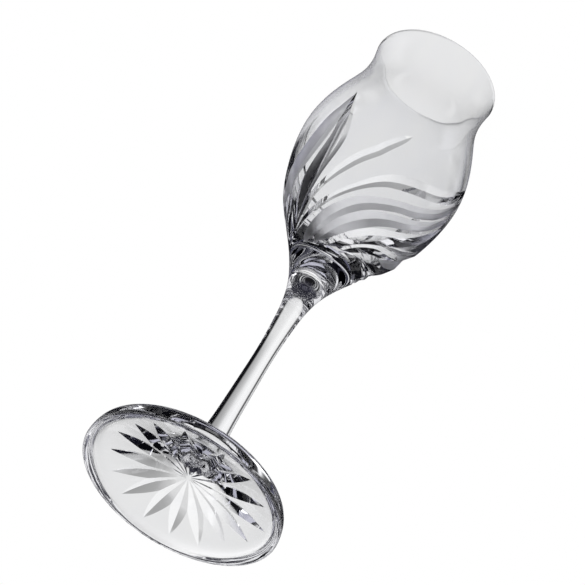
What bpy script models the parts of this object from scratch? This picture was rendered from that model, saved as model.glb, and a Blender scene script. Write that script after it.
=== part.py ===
"""Cut-crystal schnapps glass on a tall stem, standing on its foot.

Three pieces of hot-worked lead crystal: a blown tulip bowl with a solid base,
a drawn stem and a sloping foot with a hollow underside. The bowl is cut with
two turns of a leaf-and-wave ornament, the underside of the foot with a star.
Origin at the centre of the foot's resting plane, +Z up the axis, metres.
"""

import math

import bmesh
import bpy
import numpy as np
from mathutils import Matrix, Vector

# ----------------------------------------------------------------- dimensions
MM = 0.001
HEIGHT = 150.0           # foot to lip
JOINT_GAP = 0.3          # between the faces of two pieces that were fused hot

# Foot
FOOT_R = 26.9            # outer radius, down at the edge that it stands on
FOOT_EDGE_ROUND = 0.5    # rounding of that edge
FOOT_RING_IN = 25.0      # inner radius of the flat ring that it stands on
FOOT_HOLLOW = 4.5        # rise of the hollow underside at the axis
FOOT_TOP_Z = 14.0        # joint with the stem
# its upper side, radius and height: neck, long slope, and a rounded shoulder down to the edge
FOOT_TOP = [(4.35, 14.0), (4.75, 13.25), (5.5, 12.3), (6.9, 11.25), (9.0, 10.4), (12.0, 9.45), (16.0, 8.2), (20.0, 6.95),
            (22.6, 6.13), (24.0, 5.64), (24.9, 5.2), (25.6, 4.66), (26.1, 4.0), (26.45, 3.2), (26.7, 2.2), (26.85, 1.3), (26.9, 0.5)]

# Stem and bowl in one outline: outside radius by height
STEM_TOP_Z = 68.0        # joint of stem and bowl
LIP_Z = 149.2            # where the rounding of the lip starts
OUTLINE = [(14.15, 4.35), (16.0, 3.75), (18.5, 3.38), (24.0, 3.00), (31.0, 2.77), (37.5, 2.62), (49.5, 2.50), (57.0, 2.80),
           (63.0, 3.28), (68.15, 4.22), (71.0, 5.05), (75.0, 6.66), (81.0, 9.70), (87.0, 13.30), (94.5, 17.75), (102.0, 20.50),
           (109.5, 22.10), (117.0, 22.55), (124.5, 21.30), (130.5, 19.35), (135.7, 17.55), (140.2, 16.65), (144.8, 16.55), (149.2, 17.10)]
WALL_STATIONS = [(84.0, 4.1), (90.0, 3.4), (100.0, 2.4), (108.0, 1.75), (116.0, 1.45), (124.0, 1.4), (135.0, 1.35), (149.2, 1.05)]
CAVITY_BOTTOM_Z = 84.2   # lowest point of the inside
CAVITY_WALL_Z = 90.0     # where its rounded bottom runs into the wall

# Fine ring cut round the base of the bowl, where the ornament ends
RING_Z = 79.6
RING_HALF_WIDTH = 0.55
RING_DEPTH = 0.28

# Star under the foot, one cut of a V-edged wheel per ray
STAR_RAYS = 16
STAR_PHASE_DEG = 13.5    # no ray lies straight to the front
STAR_IN = 2.0            # where a ray starts, from the axis
STAR_OUT = 21.8          # where its point ends
STAR_DEPTH = 0.85
STAR_HALF_WIDTH = 2.15

# Bowl ornament, one line per cut: heading in degrees from the front, height and half width along its bed, and the
# wheel's half width to depth
ORNAMENT_TURNS = 2
ORNAMENT = {
    "leaf_frosted": ([(-43, 118.8, 0.15), (-45.3, 114.2, 1.3), (-49.8, 109.7, 2.8), (-64.6, 100.2, 3.7), (-77, 96.4, 3.6), (-90, 92.3, 3.4),
                      (-101, 89.2, 2.4), (-113, 86.6, 0.2)], 4.2),
    "leaf_mitre": ([(-42.8, 119.6, 0.15), (-39.2, 109.5, 2.0), (-40.4, 102.2, 2.7), (-48.5, 95.9, 2.7), (-62, 89.6, 2.3), (-80, 83.8, 1.4), (-92, 80.0, 0.4)], 1.95),
    "spray": ([(7.4, 112.4, 0.15), (1.3, 109.0, 1.25), (-7.7, 104.0, 1.6), (-24.2, 97.4, 1.5), (-40, 91.8, 0.85), (-58, 86.6, 1.25), (-91, 79.8, 0.3)], 3.3),
    "wave_mitre": ([(82, 121.0, 0.15), (66, 113.2, 1.55), (49.6, 106.8, 1.9), (27.8, 102.2, 2.05), (8.7, 98.4, 1.7), (-9, 93.6, 1.0), (-35, 87.9, 0.85),
                    (-59, 83.7, 0.75), (-89, 79.8, 0.2)], 2.1),
    "wave_frosted_upper": ([(83, 118.0, 0.15), (63.5, 105.4, 1.4), (42.6, 98.4, 1.6), (20.5, 94.2, 1.7), (-0.3, 90.5, 1.95), (-23.5, 85.5, 2.1), (-49, 79.2, 1.0)], 2.1),
    "wave_frosted_lower": ([(84, 113.0, 0.15), (67.8, 102.4, 1.2), (46.3, 95.0, 1.6), (23.6, 90.5, 2.0), (-0.4, 85.6, 2.4), (-30, 79.2, 0.8)], 2.1),
    "wave_deep": ([(85, 107.5, 0.15), (74.4, 99.8, 1.7), (54.5, 91.6, 2.3), (29.5, 86.3, 2.4), (3, 81.3, 1.5), (-10, 79.2, 0.7)], 1.75),
    "base_leaf": ([(103, 98.0, 0.15), (90, 92.6, 1.3), (66, 88.3, 1.6), (38, 84.2, 1.35), (14, 79.6, 0.5)], 1.45),
    "base_sliver": ([(92, 99.5, 0.15), (76, 93.2, 0.8), (56, 89.2, 0.15)], 1.4),
}
# on the far side the frosted waves run out before the base
FAR_SIDE = {
    "wave_frosted_upper": [(83, 118.0, 0.15), (63.5, 105.4, 1.4), (54, 101.6, 1.5), (42.6, 98.4, 1.4), (25, 95.0, 0.15)],
    "wave_frosted_lower": [(84, 113.0, 0.15), (67.8, 102.4, 1.2), (57.8, 98.3, 1.3), (41, 94.0, 0.15)],
}

# Fineness
BOWL_STEPS = 48
STEM_STEPS = 32
FOOT_STEPS = 64
CUT_SECTIONS = 13        # sections of one ornament cutter
CUT_CLEAR = 0.8          # how far a cutter stands out of the surface


# ------------------------------------------------------------------ functions
def smooth_line(stations):
    """Natural cubic spline through (position, value) pairs, as a function."""
    x = np.array([s[0] for s in stations], float)
    y = np.array([s[1] for s in stations], float)
    n = len(x)
    h = np.diff(x)
    a = np.eye(n)
    b = np.zeros(n)
    for i in range(1, n - 1):
        a[i, i - 1], a[i, i], a[i, i + 1] = h[i - 1], 2 * (h[i - 1] + h[i]), h[i]
        b[i] = 6 * ((y[i + 1] - y[i]) / h[i] - (y[i] - y[i - 1]) / h[i - 1])
    m = np.linalg.solve(a, b)

    def value(at):
        at = min(max(at, x[0]), x[-1])
        i = int(min(np.searchsorted(x, at, side="right") - 1, n - 2))
        l, r = x[i + 1] - at, at - x[i]
        return float((m[i] * l ** 3 + m[i + 1] * r ** 3) / (6 * h[i])
                     + (y[i] / h[i] - m[i] * h[i] / 6) * l + (y[i + 1] / h[i] - m[i + 1] * h[i] / 6) * r)

    return value


def spline(points, t):
    """Catmull-Rom point at t in 0..1 along a list of points."""
    p = [np.array(q, float) for q in points]
    p = [2 * p[0] - p[1]] + p + [2 * p[-1] - p[-2]]
    n = len(points) - 1
    i = min(int(t * n), n - 1)
    f = t * n - i
    a, b, c, d = p[i:i + 4]
    return 0.5 * (2 * b + (c - a) * f + (2 * a - 5 * b + 4 * c - d) * f * f + (3 * b - a - 3 * c + d) * f ** 3)


def glass(name, color, roughness):
    material = bpy.data.materials.new(name)
    material.use_nodes = True
    shader = material.node_tree.nodes["Principled BSDF"]
    shader.inputs["Base Color"].default_value = (*color, 1.0)
    shader.inputs["Metallic"].default_value = 0.0
    shader.inputs["Roughness"].default_value = roughness
    shader.inputs["IOR"].default_value = 1.545
    shader.inputs["Transmission Weight"].default_value = 1.0
    return material


def turned(name, profile, steps, collection, material=None):
    """A body of revolution about Z from (radius, height) points in millimetres."""
    mesh = bpy.data.meshes.new(name)
    mesh.from_pydata([(r * MM, 0.0, z * MM) for r, z in profile],
                     [(i, i + 1) for i in range(len(profile) - 1)], [])
    obj = bpy.data.objects.new(name, mesh)
    collection.objects.link(obj)
    screw = obj.modifiers.new("turn", "SCREW")
    screw.axis = "Z"
    screw.angle = 2 * math.pi
    screw.steps = screw.render_steps = steps
    screw.use_merge_vertices = True
    screw.merge_threshold = 0.00001
    screw.use_smooth_shade = True
    if material:
        mesh.materials.append(material)
    return obj


def as_cutter(obj):
    obj.hide_render = True
    obj.display_type = "WIRE"
    return obj


def cut(obj, cutters):
    boolean = obj.modifiers.new("cuts", "BOOLEAN")
    boolean.operation = "DIFFERENCE"
    boolean.solver = "EXACT"
    boolean.operand_type = "COLLECTION"
    boolean.collection = cutters
    boolean.use_self = True


def placed(heading, radius, z):
    """Point in millimetres at a heading from the front (-Y) towards +X."""
    a = math.radians(heading)
    return Vector((radius * math.sin(a), -radius * math.cos(a), z))


# ---------------------------------------------------------------------- scene
for old in list(bpy.data.objects):
    bpy.data.objects.remove(old, do_unlink=True)

scene = bpy.context.scene
parts = bpy.data.collections.new("schnapps_glass")
star_cuts = bpy.data.collections.new("star_cutters")
bowl_cuts = bpy.data.collections.new("ornament_cutters")
for c in (parts, star_cuts, bowl_cuts):
    scene.collection.children.link(c)

outside = smooth_line(OUTLINE)
wall = smooth_line(WALL_STATIONS)


def outside_slope(z):
    return (outside(z + 0.05) - outside(z - 0.05)) / 0.1


def surface(heading, z):
    """Point on the outside of the bowl and its outward normal."""
    return placed(heading, outside(z), z), placed(heading, 1.0, -outside_slope(z)).normalized()


# ----------------------------------------------------------------------- foot
def foot_hollow(radius):
    return FOOT_HOLLOW * (1.0 - (radius / FOOT_RING_IN) ** 2)


foot_profile = [(0.0, FOOT_TOP_Z)]
top_count = 28
for k in range(top_count + 1):
    foot_profile.append(tuple(spline(FOOT_TOP, k / top_count)))
# the edge that it stands on: rounded outside, then flat
for k in range(1, 4):
    a = math.radians(-90 * k / 3)
    foot_profile.append((FOOT_R - FOOT_EDGE_ROUND + FOOT_EDGE_ROUND * math.cos(a), FOOT_EDGE_ROUND + FOOT_EDGE_ROUND * math.sin(a)))
for k in range(0, 9):
    radius = FOOT_RING_IN * (1 - k / 8)
    foot_profile.append((radius, foot_hollow(radius)))

foot = turned("foot", foot_profile, FOOT_STEPS, parts, glass("crystal_foot", (0.96, 0.97, 0.98), 0.02))

# One V-edged wheel per ray: its edge enters the hollow at STAR_IN and leaves at STAR_OUT
mid = 0.5 * (STAR_IN + STAR_OUT)
half = 0.5 * (STAR_OUT - STAR_IN)
inner_z, outer_z, mid_z = foot_hollow(STAR_IN), foot_hollow(STAR_OUT), foot_hollow(mid)
chord_z = 0.5 * (inner_z + outer_z)
bed_z = mid_z + STAR_DEPTH                    # highest point of the bed
rise = bed_z - chord_z
wheel_r = (half * half + rise * rise) / (2 * rise)
wheel_slope = math.atan2(outer_z - inner_z, 2 * half)
flank = STAR_HALF_WIDTH / STAR_DEPTH
web = 6.0                                     # how far down the wheel's flanks run
wheel_profile = [(0.0, web * flank), (wheel_r - web, web * flank), (wheel_r, 0.0),
                 (wheel_r - web, -web * flank), (0.0, -web * flank)]
for k in range(STAR_RAYS):
    heading = STAR_PHASE_DEG + 360.0 * k / STAR_RAYS
    wheel = as_cutter(turned(f"star_wheel_{k:02d}", wheel_profile, 160, star_cuts))
    # the wheel's axle lies across the ray, level, and below the foot
    outward = placed(heading, 1.0, 0.0)
    along = (outward * math.cos(wheel_slope) + Vector((0, 0, math.sin(wheel_slope)))).normalized()
    axle = Vector((0, 0, 1)).cross(outward).normalized()
    up = along.cross(axle).normalized()
    if up.z < 0:
        axle, up = -axle, -up
    turn = Matrix((along, up, axle)).transposed().to_4x4()
    if turn.determinant() < 0:
        turn = Matrix((along, up, -axle)).transposed().to_4x4()
    centre = placed(heading, mid, chord_z) - up * (wheel_r - rise)
    wheel.matrix_world = Matrix.Translation(centre * MM) @ turn
cut(foot, star_cuts)

# ----------------------------------------------------------------------- stem
stem_profile = [(0.0, STEM_TOP_Z)]
stem_count = 18
for k in range(stem_count + 1):
    z = STEM_TOP_Z + (FOOT_TOP_Z + JOINT_GAP - STEM_TOP_Z) * k / stem_count
    stem_profile.append((outside(z), z))
stem_profile.append((0.0, FOOT_TOP_Z + JOINT_GAP))
stem = turned("stem", stem_profile, STEM_STEPS, parts, glass("crystal_stem", (0.96, 0.97, 0.98), 0.02))

# ----------------------------------------------------------------------- bowl
bowl_profile = [(0.0, CAVITY_BOTTOM_Z)]
# inside, from the bottom up: the outside moved in along its normal by the wall
inside = []
for k in range(16):
    z = CAVITY_WALL_Z + (LIP_Z - CAVITY_WALL_Z) * k / 15
    dr = outside_slope(z)
    n = math.hypot(1.0, dr)
    inside.append((outside(z) - wall(z) / n, z + wall(z) * dr / n))
first_r, first_z = inside[0]
for k in range(1, 4):
    a = k / 4
    bowl_profile.append((first_r * a, CAVITY_BOTTOM_Z + (first_z - CAVITY_BOTTOM_Z) * a ** 2.3))
bowl_profile += inside
# lip: a half round between the two walls
lip_in, lip_in_z = inside[-1]
lip_r = 0.5 * (outside(LIP_Z) - lip_in)
lip_rise = HEIGHT - 0.5 * (lip_in_z + LIP_Z)
for k in range(1, 4):
    a = math.radians(180 - 45 * k)
    bowl_profile.append((lip_in + lip_r + lip_r * math.cos(a), lip_in_z + (LIP_Z - lip_in_z) * k / 4 + lip_rise * math.sin(a)))
# outside, down to the ring cut and on to the stem
outer_count = 22
ring_top, ring_bottom = RING_Z + RING_HALF_WIDTH, RING_Z - RING_HALF_WIDTH
for k in range(outer_count + 1):
    z = LIP_Z + (ring_top - LIP_Z) * k / outer_count
    bowl_profile.append((outside(z), z))
bowl_profile.append((outside(RING_Z) - RING_DEPTH, RING_Z))
for k in range(6):
    z = ring_bottom + (STEM_TOP_Z + JOINT_GAP - ring_bottom) * k / 5
    bowl_profile.append((outside(z), z))
bowl_profile.append((0.0, STEM_TOP_Z + JOINT_GAP))
bowl = turned("bowl", bowl_profile, BOWL_STEPS, parts, glass("crystal_bowl", (0.96, 0.97, 0.98), 0.02))


def groove_cutter(name, bed, flank):
    """A V-shaped loft whose edge follows the bed, as deep as its width and the wheel's flanks make it."""
    mesh = bmesh.new()
    rows = []
    for k in range(CUT_SECTIONS + 1):
        t = k / CUT_SECTIONS
        heading, z, half_width = spline(bed, t)
        here, out = surface(heading, z)
        ahead, _ = surface(*spline(bed, min(t + 0.01, 1.0))[:2])
        behind, _ = surface(*spline(bed, max(t - 0.01, 0.0))[:2])
        along = (ahead - behind).normalized()
        across = out.cross(along).normalized()
        half_width = max(half_width, 0.1)
        wide = half_width + CUT_CLEAR * flank
        rows.append([mesh.verts.new((here - out * half_width / flank) * MM),
                     mesh.verts.new((here + out * CUT_CLEAR + across * wide) * MM),
                     mesh.verts.new((here + out * CUT_CLEAR - across * wide) * MM)])
        # both ends run out to a point above the surface
        if k == 0:
            first = mesh.verts.new((here + out * CUT_CLEAR - along * CUT_CLEAR * flank * 0.8) * MM)
        last_point = (here + out * CUT_CLEAR + along * CUT_CLEAR * flank * 0.8) * MM
    last = mesh.verts.new(last_point)
    for i in range(3):
        j = (i + 1) % 3
        mesh.faces.new((first, rows[0][i], rows[0][j]))
        for a, b in zip(rows, rows[1:]):
            mesh.faces.new((a[i], b[i], b[j], a[j]))
        mesh.faces.new((last, rows[-1][j], rows[-1][i]))
    bmesh.ops.recalc_face_normals(mesh, faces=mesh.faces)
    bmesh.ops.triangulate(mesh, faces=mesh.faces)
    data = bpy.data.meshes.new(name)
    mesh.to_mesh(data)
    mesh.free()
    obj = bpy.data.objects.new(name, data)
    bowl_cuts.objects.link(obj)
    return as_cutter(obj)


for turn_number in range(ORNAMENT_TURNS):
    offset = 360.0 * turn_number / ORNAMENT_TURNS
    for cut_name, (bed, flank) in ORNAMENT.items():
        if turn_number:
            bed = FAR_SIDE.get(cut_name, bed)
        groove_cutter(f"{cut_name}_{turn_number}", [(h + offset, z, w) for h, z, w in bed], flank)
cut(bowl, bowl_cuts)

for obj in (bowl, stem, foot):
    obj.data.set_sharp_from_angle(angle=math.radians(35))
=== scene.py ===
import math

import bmesh
import bpy
import numpy as np
from mathutils import Matrix, Vector


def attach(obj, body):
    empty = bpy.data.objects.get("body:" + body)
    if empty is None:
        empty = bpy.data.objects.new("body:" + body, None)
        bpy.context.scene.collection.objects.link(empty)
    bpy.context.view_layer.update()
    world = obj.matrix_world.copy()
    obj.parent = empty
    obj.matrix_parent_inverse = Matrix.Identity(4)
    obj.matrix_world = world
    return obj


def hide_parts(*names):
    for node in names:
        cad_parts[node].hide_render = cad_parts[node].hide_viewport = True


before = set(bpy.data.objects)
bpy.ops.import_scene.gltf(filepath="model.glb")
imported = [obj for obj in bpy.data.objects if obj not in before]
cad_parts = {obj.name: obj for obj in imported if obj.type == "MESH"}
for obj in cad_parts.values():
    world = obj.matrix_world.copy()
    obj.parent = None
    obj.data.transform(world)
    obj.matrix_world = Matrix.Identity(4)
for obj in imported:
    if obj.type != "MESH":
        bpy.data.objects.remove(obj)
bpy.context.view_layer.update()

MM = 0.001
scene = bpy.context.scene

# ------------------------------------------------------------------ the shape
# Outside radius by height, millimetres, from the neck of the foot to the lip
OUTER = [(14.15, 4.35), (16.0, 3.75), (18.5, 3.38), (24.0, 3.00), (31.0, 2.77), (37.5, 2.62), (49.5, 2.50),
         (57.0, 2.80), (63.0, 3.28), (68.15, 4.22), (71.0, 5.05), (75.0, 6.66), (81.0, 9.70),
         (87.0, 13.30), (94.5, 17.75), (102.0, 20.50), (109.5, 22.10), (117.0, 22.55),
         (124.5, 21.30), (130.5, 19.35), (135.7, 17.55), (140.2, 16.65), (144.8, 16.55), (149.2, 17.10)]
WALL = [(84.0, 4.1), (90.0, 3.4), (100.0, 2.4), (108.0, 1.75), (116.0, 1.45), (124.0, 1.4), (135.0, 1.35), (149.2, 1.05)]
CAVITY_BOTTOM = 84.2
CAVITY_WALL = 90.0       # the rounded bottom runs into the wall here
RING_Z, RING_HALF, RING_DEPTH = 79.6, 0.55, 0.28      # fine ring cut where the ornament ends
JOINT_LOW, JOINT_HIGH = 14.15, 68.15
LIP_Z = 149.2
HEIGHT = 150.0

FOOT_R = 26.9
FOOT_EDGE_ROUND = 0.5
FOOT_RING_IN = 26.2
FOOT_HOLLOW = 4.5


def spline_through(stations):
    """Natural cubic spline through (position, value) pairs, as a function on arrays."""
    x = np.array([s[0] for s in stations], float)
    y = np.array([s[1] for s in stations], float)
    n = len(x)
    h = np.diff(x)
    a = np.zeros((n, n))
    b = np.zeros(n)
    a[0, 0] = a[-1, -1] = 1.0
    for i in range(1, n - 1):
        a[i, i - 1], a[i, i], a[i, i + 1] = h[i - 1], 2 * (h[i - 1] + h[i]), h[i]
        b[i] = 6 * ((y[i + 1] - y[i]) / h[i] - (y[i] - y[i - 1]) / h[i - 1])
    m = np.linalg.solve(a, b)

    def value(at):
        at = np.clip(np.asarray(at, float), x[0], x[-1])
        i = np.clip(np.searchsorted(x, at, side="right") - 1, 0, n - 2)
        l, r = x[i + 1] - at, at - x[i]
        return (m[i] * l ** 3 + m[i + 1] * r ** 3) / (6 * h[i]) + (y[i] / h[i] - m[i] * h[i] / 6) * l + (y[i + 1] / h[i] - m[i + 1] * h[i] / 6) * r

    return value


outer = spline_through(OUTER)
wall = spline_through(WALL)


def outer_slope(z):
    return (outer(z + 0.02) - outer(z - 0.02)) / 0.04


def catmull(points, count, length_of=None):
    """Evenly spaced points on a Catmull-Rom line through the given points."""
    p = np.array(points, float)
    p = np.vstack([2 * p[0] - p[1], p, 2 * p[-1] - p[-2]])
    n = len(points) - 1
    t = np.linspace(0, n, 40 * n + 1)
    i = np.minimum(t.astype(int), n - 1)
    f = (t - i)[:, None]
    a, b, c, d = p[i], p[i + 1], p[i + 2], p[i + 3]
    q = 0.5 * (2 * b + (c - a) * f + (2 * a - 5 * b + 4 * c - d) * f ** 2 + (3 * b - a - 3 * c + d) * f ** 3)
    walk = q if length_of is None else length_of(q)
    length = np.concatenate([[0], np.cumsum(np.linalg.norm(np.diff(walk, axis=0), axis=1))])
    at = np.linspace(0, length[-1], count)
    return np.stack([np.interp(at, length, q[:, k]) for k in range(q.shape[1])], axis=1)


def lathe(name, profile, steps):
    """Closed body of revolution from (radius, height) in millimetres, both ends on the axis."""
    verts, rings = [], []
    ang = 2 * np.pi * np.arange(steps) / steps
    for r, z in profile:
        if r < 1e-6:
            rings.append(np.full(steps, len(verts)))
            verts.append((0.0, 0.0, z * MM))
        else:
            rings.append(len(verts) + np.arange(steps))
            verts += [(r * math.cos(a) * MM, r * math.sin(a) * MM, z * MM) for a in ang]
    faces = []
    for lo, hi in zip(rings, rings[1:]):
        for k in range(steps):
            j = (k + 1) % steps
            face = [lo[k], lo[j], hi[j], hi[k]]
            if lo[0] == lo[-1]:
                face = [lo[k], hi[j], hi[k]]
            elif hi[0] == hi[-1]:
                face = [lo[k], lo[j], hi[k]]
            faces.append([int(v) for v in face])
    mesh = bpy.data.meshes.new(name)
    mesh.from_pydata(verts, [], faces)
    b = bmesh.new()
    b.from_mesh(mesh)
    if b.calc_volume(signed=True) < 0:
        bmesh.ops.reverse_faces(b, faces=b.faces)
    b.to_mesh(mesh)
    b.free()
    obj = bpy.data.objects.new(name, mesh)
    scene.collection.objects.link(obj)
    return obj


def loft(name, rows, first, last, material):
    """Closed spindle through sections of equally many points, with a point at each end."""
    verts = [first] + [p for row in rows for p in row] + [last]
    n, w = len(rows), len(rows[0])
    faces = []
    for i in range(w):
        j = (i + 1) % w
        faces.append((0, 1 + i, 1 + j))
        for k in range(n - 1):
            faces.append((1 + w * k + i, 1 + w * (k + 1) + i, 1 + w * (k + 1) + j, 1 + w * k + j))
        faces.append((1 + w * n, 1 + w * (n - 1) + j, 1 + w * (n - 1) + i))
    mesh = bpy.data.meshes.new(name)
    mesh.from_pydata([tuple(float(c) * MM for c in v) for v in verts], [], faces)
    b = bmesh.new()
    b.from_mesh(mesh)
    bmesh.ops.recalc_face_normals(b, faces=b.faces)
    bmesh.ops.triangulate(b, faces=b.faces)
    if b.calc_volume(signed=True) < 0:
        bmesh.ops.reverse_faces(b, faces=b.faces)
    b.to_mesh(mesh)
    b.free()
    mesh.materials.append(material)
    obj = bpy.data.objects.new(name, mesh)
    scene.collection.objects.link(obj)
    return obj


def cut_all(obj, cutters):
    """Removes the cutters from the object, keeps their materials on the cut faces, and drops the cutters."""
    for c in cutters:
        for m in c.data.materials:
            if m.name not in obj.data.materials:
                obj.data.materials.append(m)
    for c in cutters:
        mod = obj.modifiers.new(c.name, "BOOLEAN")
        mod.operation = "DIFFERENCE"
        mod.solver = "MANIFOLD"
        mod.operand_type = "OBJECT"
        mod.object = c
        mod.material_mode = "TRANSFER"
    graph = bpy.context.evaluated_depsgraph_get()
    mesh = bpy.data.meshes.new_from_object(obj.evaluated_get(graph), preserve_all_data_layers=True, depsgraph=graph)
    obj.modifiers.clear()
    old = obj.data
    mesh.name = obj.name
    obj.data = mesh
    bpy.data.meshes.remove(old)
    for c in cutters:
        data = c.data
        bpy.data.objects.remove(c, do_unlink=True)
        bpy.data.meshes.remove(data)


# ------------------------------------------------------------------ materials
def principled(name):
    m = bpy.data.materials.new(name)
    m.use_nodes = True
    nt = m.node_tree
    return m, nt, nt.nodes["Principled BSDF"]


def noise_node(nt, coord, scale, detail, rough=0.5):
    n = nt.nodes.new("ShaderNodeTexNoise")
    n.inputs["Scale"].default_value = scale
    n.inputs["Detail"].default_value = detail
    n.inputs["Roughness"].default_value = rough
    nt.links.new(coord, n.inputs["Vector"])
    return n.outputs["Fac"]


def tone(nt, value, stops):
    r = nt.nodes.new("ShaderNodeValToRGB")
    nt.links.new(value, r.inputs[0])
    for el, (at, colour) in zip(r.color_ramp.elements, stops):
        el.position = at
        el.color = (*colour, 1)
    return r.outputs["Color"]


def relief(nt, height, distance, under=None):
    b = nt.nodes.new("ShaderNodeBump")
    b.inputs["Strength"].default_value = 1.0
    b.inputs["Distance"].default_value = distance
    nt.links.new(height, b.inputs["Height"])
    if under is not None:
        nt.links.new(under, b.inputs["Normal"])
    return b.outputs["Normal"]


def crystal(name):
    """Clear lead crystal, polished: faint cords in the glass, a surface that waves by microns, a few dull spots of polish."""
    m, nt, p = principled(name)
    coord = nt.nodes.new("ShaderNodeTexCoord").outputs["Object"]
    stretch = nt.nodes.new("ShaderNodeMapping")
    stretch.inputs["Scale"].default_value = (1.0, 1.0, 0.35)
    nt.links.new(coord, stretch.inputs["Vector"])
    cords = noise_node(nt, stretch.outputs["Vector"], 180.0, 3.0)
    nt.links.new(tone(nt, cords, [(0.3, (0.962, 0.966, 0.98)), (0.7, (0.984, 0.986, 0.988))]), p.inputs["Base Color"])
    nt.links.new(tone(nt, noise_node(nt, coord, 900.0, 4.0, 0.6), [(0.56, (0.0, 0.0, 0.0)), (0.8, (0.03, 0.03, 0.03))]), p.inputs["Roughness"])
    nt.links.new(relief(nt, noise_node(nt, stretch.outputs["Vector"], 260.0, 1.0), 0.00002), p.inputs["Normal"])
    p.inputs["Transmission Weight"].default_value = 1.0
    p.inputs["IOR"].default_value = 1.545
    return m


def satin(name):
    """Cut left matt by the fine stone: grain of a quarter millimetre, uneven where the stone bit less."""
    m, nt, p = principled(name)
    coord = nt.nodes.new("ShaderNodeTexCoord").outputs["Object"]
    grain = noise_node(nt, coord, 3600.0, 3.0, 0.6)
    bite = noise_node(nt, coord, 420.0, 3.0)
    nt.links.new(tone(nt, bite, [(0.3, (0.71, 0.71, 0.75)), (0.7, (0.79, 0.79, 0.825))]), p.inputs["Base Color"])
    nt.links.new(tone(nt, bite, [(0.3, (0.48, 0.48, 0.48)), (0.7, (0.37, 0.37, 0.37))]), p.inputs["Roughness"])
    nt.links.new(relief(nt, grain, 0.00003), p.inputs["Normal"])
    p.inputs["Transmission Weight"].default_value = 0.96
    p.inputs["IOR"].default_value = 1.545
    return m


def fused(name):
    """Where two gathers were fused hot there is no surface: light goes straight on."""
    m = bpy.data.materials.new(name)
    m.use_nodes = True
    nt = m.node_tree
    nt.nodes.clear()
    out = nt.nodes.new("ShaderNodeOutputMaterial")
    t = nt.nodes.new("ShaderNodeBsdfTransparent")
    nt.links.new(t.outputs[0], out.inputs["Surface"])
    return m


CLEAR = crystal("crystal_polished")
MATT = satin("crystal_satin_cut")
JOIN = fused("crystal_fused_joint")

# ----------------------------------------------------------------------- bowl
inside_z = np.linspace(CAVITY_WALL, LIP_Z, 70)
dr = outer_slope(inside_z)
n = np.hypot(1.0, dr)
inside_r = outer(inside_z) - wall(inside_z) / n
inside_h = inside_z + wall(inside_z) * dr / n
profile = [(0.0, CAVITY_BOTTOM)]
for k in range(1, 32):
    a = k / 32
    profile.append((inside_r[0] * a, CAVITY_BOTTOM + (inside_h[0] - CAVITY_BOTTOM) * a ** 2.3))
profile += list(zip(inside_r, inside_h))
lip_in, lip_out = inside_r[-1], float(outer(LIP_Z))
lip_mid, lip_half = 0.5 * (lip_in + lip_out), 0.5 * (lip_out - lip_in)
lip_rise = HEIGHT - 0.5 * (inside_h[-1] + LIP_Z)
for k in range(1, 12):
    a = math.pi * (1 - k / 12)
    profile.append((lip_mid + lip_half * math.cos(a), inside_h[-1] + (LIP_Z - inside_h[-1]) * k / 12 + lip_rise * math.sin(a)))
for z in np.concatenate([np.linspace(LIP_Z, 121.0, 40), np.linspace(120.6, RING_Z + RING_HALF, 110)]):
    profile.append((float(outer(z)), float(z)))
profile.append((float(outer(RING_Z)) - RING_DEPTH, RING_Z))
for z in np.linspace(RING_Z - RING_HALF, JOINT_HIGH, 24):
    profile.append((float(outer(z)), float(z)))
profile.append((0.0, JOINT_HIGH))
bowl = lathe("bowl_crystal", profile, 240)
bowl.data.materials.append(CLEAR)

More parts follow.
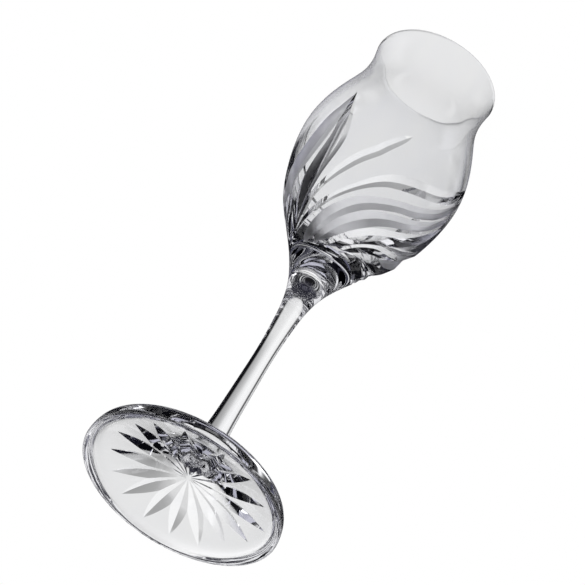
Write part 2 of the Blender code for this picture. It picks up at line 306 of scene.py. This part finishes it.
# Ornament, cut twice round the bowl. Each cut: its line over the surface as (heading from the front in degrees, height,
# half width), the wheel's half width to depth, how much of its edge is flat, and the finish
ORNAMENT = [
    ("leaf_satin", [(-43, 118.8, 0.12), (-45.3, 114.2, 1.3), (-49.8, 109.7, 2.8), (-55.8, 104.8, 3.5), (-64.6, 100.2, 3.7), (-77, 96.4, 3.65),
                    (-90, 92.3, 3.4), (-101, 89.2, 2.4), (-113, 86.6, 0.3)], 4.2, 0.0, "satin"),
    ("leaf_mitre", [(-42.8, 119.6, 0.12), (-40.6, 114.5, 1.1), (-39.2, 109.5, 2.0), (-38.7, 105.4, 2.5), (-40.4, 102.2, 2.7), (-43.6, 99.2, 2.75),
                    (-48.5, 95.9, 2.7), (-55, 92.5, 2.6), (-62, 89.6, 2.3), (-70, 86.9, 2.0), (-80, 83.8, 1.4), (-92, 80.0, 0.4)], 1.95, 0.0, "clear"),
    ("spray", [(7.4, 112.4, 0.1), (4.6, 110.9, 0.85), (1.3, 109.0, 1.25), (-3.5, 106.4, 1.5), (-7.7, 104.0, 1.6), (-15.5, 101.0, 1.65), (-24.2, 97.4, 1.5),
               (-32, 94.4, 1.1), (-40, 91.8, 0.85), (-50, 89.0, 0.9), (-58, 86.6, 1.25), (-68, 84.2, 1.35), (-80, 81.8, 0.9), (-91, 79.8, 0.3)], 3.3, 0.0, "clear"),
    ("wave_mitre", [(82, 121.0, 0.1), (75, 117.4, 1.0), (66, 113.2, 1.55), (59.4, 110.1, 1.8), (49.6, 106.8, 1.9), (38.6, 104.3, 2.05), (27.8, 102.2, 2.05),
                    (18.2, 100.4, 2.0), (8.7, 98.4, 1.7), (-0.2, 96.0, 1.3), (-9, 93.6, 1.0), (-20, 91.0, 0.85), (-35, 87.9, 0.85), (-47, 85.6, 0.85),
                    (-59, 83.7, 0.75), (-74, 81.6, 0.5), (-89, 79.8, 0.2)], 2.1, 0.0, "clear"),
    ("wave_satin_upper", [(83, 118.0, 0.1), (75, 112.2, 1.0), (63.5, 105.4, 1.4), (54, 101.6, 1.5), (42.6, 98.4, 1.6), (30.7, 96.1, 1.6), (20.5, 94.2, 1.7),
                          (10.1, 92.4, 1.8), (-0.3, 90.5, 1.95), (-11, 88.2, 2.1), (-23.5, 85.5, 2.15), (-33, 83.2, 2.0), (-41, 81.2, 1.7), (-49, 79.2, 1.0)], 2.1, 0.0, "satin"),
    ("wave_satin_lower", [(84, 113.0, 0.1), (77, 107.8, 0.85), (67.8, 102.4, 1.2), (57.8, 98.3, 1.45), (46.3, 95.0, 1.6), (34.2, 92.6, 1.8), (23.6, 90.5, 2.0),
                          (12.2, 88.2, 2.3), (-0.4, 85.6, 2.4), (-13.7, 82.8, 2.1), (-22, 81.0, 1.6), (-30, 79.2, 0.8)], 2.1, 0.0, "satin"),
    ("wave_deep", [(85, 107.5, 0.1), (80, 103.6, 1.1), (74.4, 99.8, 1.7), (65.4, 95.2, 2.1), (54.5, 91.6, 2.3), (41.7, 88.8, 2.4), (29.5, 86.3, 2.4),
                   (15.4, 83.6, 2.0), (3, 81.3, 1.5), (-10, 79.2, 0.7)], 1.75, 0.0, "clear"),
    ("base_leaf", [(103, 98.0, 0.1), (97, 95.0, 0.8), (90, 92.6, 1.3), (78, 90.0, 1.55), (66, 88.3, 1.6), (54, 86.8, 1.55), (38, 84.2, 1.35), (26, 82.0, 1.05), (14, 79.6, 0.5)], 1.45, 0.0, "clear"),
    ("base_sliver", [(92, 99.5, 0.1), (86, 96.6, 0.6), (76, 93.2, 0.8), (66, 91.0, 0.7), (56, 89.2, 0.15)], 1.4, 0.0, "clear"),
]

# On the far side the matt waves run out before the base, which stays clear to look through
FAR = {
    "wave_satin_upper": [(83, 118.0, 0.1), (75, 112.2, 1.0), (63.5, 105.4, 1.4), (54, 101.6, 1.5), (42.6, 98.4, 1.4), (34, 96.7, 0.9), (25, 95.0, 0.1)],
    "wave_satin_lower": [(84, 113.0, 0.1), (77, 107.8, 0.85), (67.8, 102.4, 1.2), (57.8, 98.3, 1.3), (50, 96.0, 0.9), (41, 94.0, 0.1)],
}


def bowl_groove(name, line, flank, flat, material, offset, sections=84, clear=0.8):
    path = catmull([(h, z, w) for h, z, w in line], sections, length_of=lambda q: np.stack([np.radians(q[:, 0]) * 16.0, q[:, 1]], 1))
    a = np.radians(path[:, 0] + offset)
    z = path[:, 1]
    half = np.maximum(path[:, 2], 0.02)
    r = outer(z)
    pos = np.stack([r * np.sin(a), -r * np.cos(a), z], 1)
    s = outer_slope(z)
    up = np.stack([np.sin(a), -np.cos(a), -s], 1) / np.hypot(1, s)[:, None]
    along = np.gradient(pos, axis=0)
    along /= np.linalg.norm(along, axis=1)[:, None]
    across = np.cross(up, along)
    across /= np.linalg.norm(across, axis=1)[:, None]
    rows = []
    for k in range(sections):
        low = -half[k] * (1 - flat) / flank
        wide = half[k] + clear * flank
        floor_half = half[k] * flat
        top = pos[k] + up[k] * clear
        base = pos[k] + up[k] * low
        bed = [base + across[k] * floor_half, base - across[k] * floor_half] if flat else [base]
        rows.append(bed + [top - across[k] * wide, top + across[k] * wide])
    # both ends rise straight out of the glass
    step = clear * flank * 0.8
    first = pos[0] + up[0] * clear - along[0] * step
    last = pos[-1] + up[-1] * clear + along[-1] * step
    return loft(name, rows, first, last, material)


cutters = []
for turn in range(2):
    for name, line, flank, flat, finish in ORNAMENT:
        line = FAR.get(name, line) if turn else line
        cutters.append(bowl_groove(f"{name}_{turn}", line, flank, flat, MATT if finish == "satin" else CLEAR, 180.0 * turn))
cut_all(bowl, cutters)

# ----------------------------------------------------------------------- stem
profile = [(0.0, JOINT_HIGH)]
for z in np.linspace(JOINT_HIGH, JOINT_LOW, 90):
    profile.append((float(outer(z)), float(z)))
profile.append((0.0, JOINT_LOW))
stem = lathe("stem_crystal", profile, 128)
stem.data.materials.append(CLEAR)


# ----------------------------------------------------------------------- foot
def hollow(radius):
    return FOOT_HOLLOW * (1 - (radius / FOOT_RING_IN) ** 2)


top = catmull([(float(outer(JOINT_LOW)), JOINT_LOW), (4.75, 13.3), (5.5, 12.3), (6.9, 11.25), (9.0, 10.4), (12.0, 9.45), (16.0, 8.2), (20.0, 6.95),
               (22.6, 6.13), (24.0, 5.64), (24.9, 5.2), (25.6, 4.66), (26.1, 4.0), (26.45, 3.2), (26.7, 2.2), (26.85, 1.3), (FOOT_R, FOOT_EDGE_ROUND)], 160)
profile = [(0.0, JOINT_LOW)] + [(float(r), float(z)) for r, z in top]
for k in range(1, 9):
    a = math.radians(-90 * k / 8)
    profile.append((FOOT_R - FOOT_EDGE_ROUND + FOOT_EDGE_ROUND * math.cos(a), FOOT_EDGE_ROUND + FOOT_EDGE_ROUND * math.sin(a)))
for k in range(1, 4):
    profile.append((FOOT_R - FOOT_EDGE_ROUND - (FOOT_R - FOOT_EDGE_ROUND - FOOT_RING_IN) * k / 3, 0.0))
for k in range(1, 46):
    radius = FOOT_RING_IN * (1 - k / 45)
    profile.append((radius, hollow(radius)))
foot = lathe("foot_crystal", profile, 256)
foot.data.materials.append(CLEAR)

def run(x):
    x = np.clip(x, 0, 1)
    return x * (2 - x)


# Cut by hand: heading from the front in degrees and reach of each ray
STAR = [(10.5, 24.2), (33.0, 23.8), (57.5, 22.9), (83.0, 22.9), (106.0, 21.6), (127.5, 20.0), (150.5, 22.4), (171.5, 22.4),
        (191.5, 22.2), (214.0, 21.4), (236.0, 20.4), (261.0, 20.2), (286.0, 21.4), (307.0, 22.5), (323.0, 23.4), (344.0, 24.2)]
star = []
for k, (heading, reach) in enumerate(STAR):
    heading = math.radians(heading)
    out = np.array([math.sin(heading), -math.cos(heading), 0.0])
    side = np.array([math.cos(heading), math.sin(heading), 0.0])
    sections = 40
    radius = np.linspace(0.6, reach, sections)
    t = np.linspace(0, 1, sections)
    half = 2.15 * np.minimum(t / 0.5, 1) ** 0.75 * run((1 - t) / 0.5)
    slope = 4.0 - 2.0 * run(t / 0.8)
    clear = 0.8
    rows = []
    for q, h, flank in zip(radius, half, slope):
        d = h / flank
        base = out * q + np.array([0, 0, hollow(q)])
        wide = clear * flank + h
        low = np.array([0, 0, -clear])
        rows.append([base + np.array([0, 0, d]), base + low + side * wide, base + low - side * wide])
    first = out * (radius[0] - 0.3) + np.array([0, 0, hollow(0) - clear])
    last = out * (radius[-1] + clear * 1.8) + np.array([0, 0, hollow(radius[-1]) - clear])
    star.append(loft(f"star_{k:02d}", rows, first, last, CLEAR))
cut_all(foot, star)


# -------------------------------------------------- smooth faces, hidden joints
def true_normals(mesh, on_skin, normal_at, limit=0.94):
    """Shades the turned skin between the cuts with its exact normals, so that the facets left by cutting don't show."""
    co = np.empty(3 * len(mesh.vertices))
    mesh.vertices.foreach_get("co", co)
    co = co.reshape(-1, 3) / MM
    skin = on_skin(co)
    exact = normal_at(co)
    corners = np.empty(3 * len(mesh.loops))
    mesh.corner_normals.foreach_get("vector", corners)
    corners = corners.reshape(-1, 3)
    vertex = np.empty(len(mesh.loops), int)
    mesh.loops.foreach_get("vertex_index", vertex)
    for poly in mesh.polygons:
        loops = range(poly.loop_start, poly.loop_start + poly.loop_total)
        ids = vertex[loops.start:loops.stop]
        if skin[ids].all() and (exact[ids] @ np.array(poly.normal)).min() > limit:
            corners[loops.start:loops.stop] = exact[ids]
    mesh.normals_split_custom_set([tuple(float(c) for c in n) for n in corners])


def bowl_skin(co):
    r = np.hypot(co[:, 0], co[:, 1])
    plain = (co[:, 2] > RING_Z + RING_HALF + 0.01) | (co[:, 2] < RING_Z - RING_HALF - 0.01)
    return plain & (co[:, 2] < LIP_Z) & (co[:, 2] > JOINT_HIGH + 0.01) & (np.abs(r - outer(co[:, 2])) < 0.012)


def bowl_normal(co):
    r = np.maximum(np.hypot(co[:, 0], co[:, 1]), 1e-6)
    slope = outer_slope(co[:, 2])
    return np.stack([co[:, 0] / r, co[:, 1] / r, -slope], 1) / np.hypot(1, slope)[:, None]


def hollow_skin(co):
    r = np.hypot(co[:, 0], co[:, 1])
    return (r < FOOT_RING_IN - 0.01) & (np.abs(co[:, 2] - hollow(r)) < 0.012)


def hollow_normal(co):
    r = np.maximum(np.hypot(co[:, 0], co[:, 1]), 1e-6)
    slope = -2 * FOOT_HOLLOW * r / FOOT_RING_IN ** 2
    return np.stack([co[:, 0] / r * slope, co[:, 1] / r * slope, -np.ones_like(r)], 1) / np.hypot(1, slope)[:, None]


def finish_piece(obj, node, caps):
    mesh = obj.data
    for cap in caps:
        if JOIN.name not in mesh.materials:
            mesh.materials.append(JOIN)
        index = list(mesh.materials).index(JOIN)
        for poly in mesh.polygons:
            if abs(poly.center.z - cap * MM) < 1e-6 and abs(poly.normal.z) > 0.999:
                poly.material_index = index
    mesh.shade_smooth()
    mesh.set_sharp_from_angle(angle=math.radians(14))
    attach(obj, "root")
    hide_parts(node)


finish_piece(bowl, "bowl", [JOINT_HIGH])
finish_piece(stem, "stem", [JOINT_LOW, JOINT_HIGH])
finish_piece(foot, "foot", [JOINT_LOW])
true_normals(bowl.data, bowl_skin, bowl_normal)
true_normals(foot.data, hollow_skin, hollow_normal)

# --------------------------------------------------------------------- camera
# Seen from below the foot: 35 degrees under the horizon, the glass leaning 31.7 degrees to the right in the picture
ELEVATION = math.radians(35.03)
DISTANCE = 7.725 * 0.150
LEAN = math.radians(31.73)
FOCAL = 4587.3            # pixels in a 585 pixel frame
target = Vector((0, 0, 0.075))
forward = Vector((0, math.cos(ELEVATION), math.sin(ELEVATION)))
right = Vector((1, 0, 0))
above = right.cross(forward)
position = target - forward * DISTANCE
aim = (forward + right * (-8.98 / FOCAL) + above * (-24.22 / FOCAL)).normalized()
right = aim.cross(above).normalized()
above = right.cross(aim).normalized()
image_right = right * math.cos(LEAN) + above * math.sin(LEAN)
image_up = above * math.cos(LEAN) - right * math.sin(LEAN)
camera_data = bpy.data.cameras.new("camera")
camera_data.sensor_width = 36.0
camera_data.lens = FOCAL / 585.0 * 36.0
camera_data.clip_start = 0.05
camera_data.clip_end = 50.0
camera = bpy.data.objects.new("camera", camera_data)
scene.collection.objects.link(camera)
camera.matrix_world = Matrix.Translation(position) @ Matrix((image_right, image_up, -aim)).transposed().to_4x4()
scene.camera = camera

# ---------------------------------------------------------------------- floor
# Pale and one-sided: the photograph looks up from under it. Light mirrored inside the glass passes it, so that the cuts
# stay dark as over a black table.
floor_mesh = bpy.data.meshes.new("floor")
floor_mesh.from_pydata([(-3, -3, -0.0002), (3, -3, -0.0002), (3, 3, -0.0002), (-3, 3, -0.0002)], [], [(0, 1, 2, 3)])
floor = bpy.data.objects.new("floor", floor_mesh)
scene.collection.objects.link(floor)
fm = bpy.data.materials.new("floor_pale")
fm.use_nodes = True
nt = fm.node_tree
nt.nodes.clear()
N, L = nt.nodes.new, nt.links.new


def math_node(op, a, b=None, c=None):
    m = N("ShaderNodeMath")
    m.operation = op
    for i, v in enumerate((a, b, c)):
        if v is None:
            continue
        if isinstance(v, (int, float)):
            m.inputs[i].default_value = v
        else:
            L(v, m.inputs[i])
    return m.outputs[0]


out = N("ShaderNodeOutputMaterial")
mix = N("ShaderNodeMixShader")
geo = N("ShaderNodeNewGeometry")
path = N("ShaderNodeLightPath")
clear = N("ShaderNodeBsdfTransparent")
diff = N("ShaderNodeBsdfDiffuse")
diff.inputs["Color"].default_value = (0.86, 0.86, 0.86, 1)
L(math_node("MAXIMUM", geo.outputs["Backfacing"], math_node("GREATER_THAN", path.outputs["Glossy Depth"], 0.5)), mix.inputs[0])
L(diff.outputs[0], mix.inputs[1])
L(clear.outputs[0], mix.inputs[2])
L(mix.outputs[0], out.inputs["Surface"])
floor_mesh.materials.append(fm)

# ---------------------------------------------------------------------- world
# A bright backdrop seen straight through the glass, falling off to one side, and a dark studio with a few soft boxes that
# only light mirrored in the glass reaches
world = bpy.data.worlds.new("studio")
scene.world = world
world.use_nodes = True
world.cycles.sampling_method = "NONE"
nt = world.node_tree
nt.nodes.clear()
N, L = nt.nodes.new, nt.links.new
out = N("ShaderNodeOutputWorld")
bg = N("ShaderNodeBackground")
L(bg.outputs[0], out.inputs["Surface"])
coord = N("ShaderNodeTexCoord")
sky = coord.outputs["Generated"]
sep = N("ShaderNodeSeparateXYZ")
L(sky, sep.inputs[0])
path = N("ShaderNodeLightPath")


def step_node(value, low, high):
    m = N("ShaderNodeMapRange")
    m.interpolation_type = "SMOOTHSTEP"
    L(value, m.inputs["Value"])
    m.inputs["From Min"].default_value = low
    m.inputs["From Max"].default_value = high
    m.inputs["To Min"].default_value = 0.0
    m.inputs["To Max"].default_value = 1.0
    return m.outputs["Result"]


def along_node(axis, unit=True):
    """How far a direction points along an axis."""
    v = N("ShaderNodeVectorMath")
    v.operation = "DOT_PRODUCT"
    L(sky, v.inputs[0])
    v.inputs[1].default_value = Vector(axis).normalized() if unit else axis
    return v.outputs["Value"]


def ramp_node(value, stops, mode="LINEAR"):
    """Colour by a value from -1 to 1."""
    r = N("ShaderNodeValToRGB")
    r.color_ramp.interpolation = mode
    L(math_node("MULTIPLY_ADD", value, 0.5, 0.5), r.inputs[0])
    e = r.color_ramp.elements
    while len(e) < len(stops):
        e.new(0.5)
    for el, (at, colour) in zip(e, stops):
        el.position = at * 0.5 + 0.5
        el.color = (*colour, 1) if isinstance(colour, tuple) else (colour, colour, colour, 1)
    return r.outputs["Color"]


def mix_node(factor, a, b):
    m = N("ShaderNodeMix")
    m.data_type = "RGBA"
    L(factor, m.inputs["Factor"])
    for name, v in (("A", a), ("B", b)):
        if isinstance(v, tuple):
            m.inputs[name].default_value = (*v, 1)
        else:
            L(v, m.inputs[name])
    return m.outputs["Result"]


def scale_node(a, b):
    v = N("ShaderNodeVectorMath")
    v.operation = "MULTIPLY"
    L(a, v.inputs[0])
    L(b, v.inputs[1])
    return v.outputs["Vector"]


# straight through: a bright backdrop that falls off towards the lower right and ends at both sides
across = ramp_node(sep.outputs["X"], [(-1.0, 0.9), (-0.74, 0.9), (-0.66, 0.1), (-0.58, 0.15), (-0.5, 1.0), (-0.2, 1.06), (0.0, 0.895), (0.25, 0.82), (0.44, 0.79), (0.5, 0.3), (0.55, 0.004)])
corner = math_node("MULTIPLY", math_node("MAXIMUM", sep.outputs["X"], 0.0), math_node("MAXIMUM", math_node("SUBTRACT", 0.62, sep.outputs["Z"]), 0.0))
falling = ramp_node(corner, [(0.0, 1.0), (0.01, 0.82), (0.02, 0.69), (0.04, 0.55), (0.07, 0.48), (0.1, 0.45), (0.2, 0.38), (0.4, 0.25)])
backdrop = scale_node(across, falling)
level = math_node("SUBTRACT", 1.0, step_node(sep.outputs["Z"], math.sin(math.radians(4)), math.sin(math.radians(16))))
straight = mix_node(level, backdrop, (0.84, 0.84, 0.85))

# mirrored: ahead a glow that sinks into a dark studio with soft boxes, white walls far out at both sides, little behind the camera
ahead = ramp_node(sep.outputs["Z"], [(-0.9, 0.02), (-0.6, 0.05), (-0.35, 0.09), (-0.1, 0.13), (0.1, 0.15), (0.26, 0.17), (0.42, 0.32), (0.54, 0.56), (0.72, 0.6), (0.84, 0.5), (0.875, 0.02), (0.91, 0.02), (0.916, 0.8), (0.932, 0.8), (0.938, 0.015), (0.96, 0.015), (0.965, 0.8), (0.973, 0.8), (0.978, 0.01), (1.0, 0.01)])
ahead = scale_node(ahead, ramp_node(sep.outputs["X"], [(-1.0, 1.0), (0.42, 1.0), (0.56, 0.06), (0.72, 0.06), (0.8, 1.0)]))
cells = N("ShaderNodeTexVoronoi")
cells.inputs["Scale"].default_value = 3.0
L(sky, cells.inputs["Vector"])
pick = N("ShaderNodeSeparateColor")
L(cells.outputs["Color"], pick.inputs[0])
boxes = ramp_node(math_node("MULTIPLY_ADD", pick.outputs[0], 2.0, -1.0), [(-1.0, (0.03, 0.03, 0.04)), (0.24, (0.9, 0.9, 1.05)), (0.5, (7.0, 7.0, 7.2))], "CONSTANT")
clear_sky = step_node(sep.outputs["Z"], math.sin(math.radians(20)), math.sin(math.radians(32)))
mirror = scale_node(ahead, mix_node(clear_sky, boxes, (1.0, 1.0, 1.0)))
# what lies left of the glass: dark below, a glow above
left = math_node("SUBTRACT", 1.0, step_node(sep.outputs["X"], -0.36, -0.22))
dark_left = math_node("MULTIPLY", left, math_node("SUBTRACT", 1.0, step_node(sep.outputs["Z"], 0.22, 0.34)))
mirror = scale_node(mirror, math_node("MULTIPLY_ADD", dark_left, -0.9, 1.0))
glow = math_node("MULTIPLY", math_node("SUBTRACT", 1.0, step_node(sep.outputs["X"], -0.14, 0.04)), step_node(sep.outputs["Z"], 0.32, 0.44))
glow = math_node("MULTIPLY", glow, math_node("SUBTRACT", 1.0, step_node(sep.outputs["Z"], 0.72, 0.82)))
mirror = mix_node(glow, mirror, (0.9, 0.9, 0.92))
# what has been mirrored more than once: a dark room with few lamps
rooms = N("ShaderNodeTexVoronoi")
rooms.inputs["Scale"].default_value = 2.2
L(sky, rooms.inputs["Vector"])
choose = N("ShaderNodeSeparateColor")
L(rooms.outputs["Color"], choose.inputs[0])
lamps = ramp_node(math_node("MULTIPLY_ADD", choose.outputs[0], 2.0, -1.0), [(-1.0, (0.004, 0.004, 0.009)), (0.15, (0.1, 0.1, 0.155)), (0.55, (0.55, 0.55, 0.64)), (0.78, (2.2, 2.2, 2.25))], "CONSTANT")
lamps = scale_node(lamps, math_node("MULTIPLY_ADD", step_node(sep.outputs["Z"], -0.12, 0.1), 0.97, 0.03))
lamps = scale_node(lamps, math_node("MULTIPLY_ADD", step_node(sep.outputs["Z"], 0.6, 0.8), -0.8, 1.0))
mirror = mix_node(math_node("GREATER_THAN", path.outputs["Glossy Depth"], 1.5), mirror, lamps)
left_wall = math_node("MULTIPLY", math_node("SUBTRACT", 1.0, step_node(sep.outputs["X"], -0.9, -0.8)), step_node(sep.outputs["Z"], 0.05, 0.2))
side_wall = math_node("MULTIPLY", step_node(math_node("ABSOLUTE", sep.outputs["X"]), 0.78, 0.88), step_node(sep.outputs["Z"], -0.65, -0.5))
side_wall = math_node("MULTIPLY", side_wall, math_node("GREATER_THAN", path.outputs["Glossy Depth"], 1.5))
# and what has been mirrored often, as in the edge of the foot: the bright room at the sides and behind
often = math_node("MULTIPLY", math_node("GREATER_THAN", path.outputs["Glossy Depth"], 2.5), math_node("SUBTRACT", 1.0, step_node(sep.outputs["Y"], 0.25, 0.5)))
often = math_node("MULTIPLY", often, math_node("MULTIPLY", step_node(sep.outputs["Z"], -0.6, -0.4), math_node("SUBTRACT", 1.0, step_node(sep.outputs["Z"], 0.58, 0.7))))
walls = math_node("MAXIMUM", math_node("MAXIMUM", math_node("MULTIPLY", left_wall, 0.4), side_wall), often)
mirror = mix_node(walls, mirror, (0.92, 0.92, 0.94))
behind = math_node("SUBTRACT", 1.0, step_node(sep.outputs["Y"], -0.25, 0.05))
mirror = mix_node(math_node("MULTIPLY", behind, math_node("SUBTRACT", 1.0, walls)), mirror, (0.03, 0.03, 0.042))
# light mirrored on the outside of the glass comes from the dark half of the studio
mirror = mix_node(math_node("LESS_THAN", path.outputs["Transmission Depth"], 0.5), mirror, (0.012, 0.012, 0.018))

mirrored = math_node("GREATER_THAN", path.outputs["Glossy Depth"], 0.5)
light = mix_node(mirrored, straight, mirror)
light = mix_node(math_node("GREATER_THAN", path.outputs["Diffuse Depth"], 0.5), light, (1.0, 1.0, 1.0))
cove = mix_node(step_node(sep.outputs["Z"], -0.02, 0.3), (0.85, 0.85, 0.85), (1.0, 1.0, 1.0))
light = mix_node(path.outputs["Is Camera Ray"], light, cove)
L(light, bg.inputs["Color"])

# --------------------------------------------------------------------- render
scene.view_settings.view_transform = "Standard"
scene.view_settings.look = "None"
scene.cycles.max_bounces = 32
scene.cycles.transmission_bounces = 32
scene.cycles.glossy_bounces = 24
scene.cycles.transparent_max_bounces = 24
scene.cycles.diffuse_bounces = 4
scene.cycles.sample_clamp_indirect = 0.0
scene.cycles.use_denoising = True
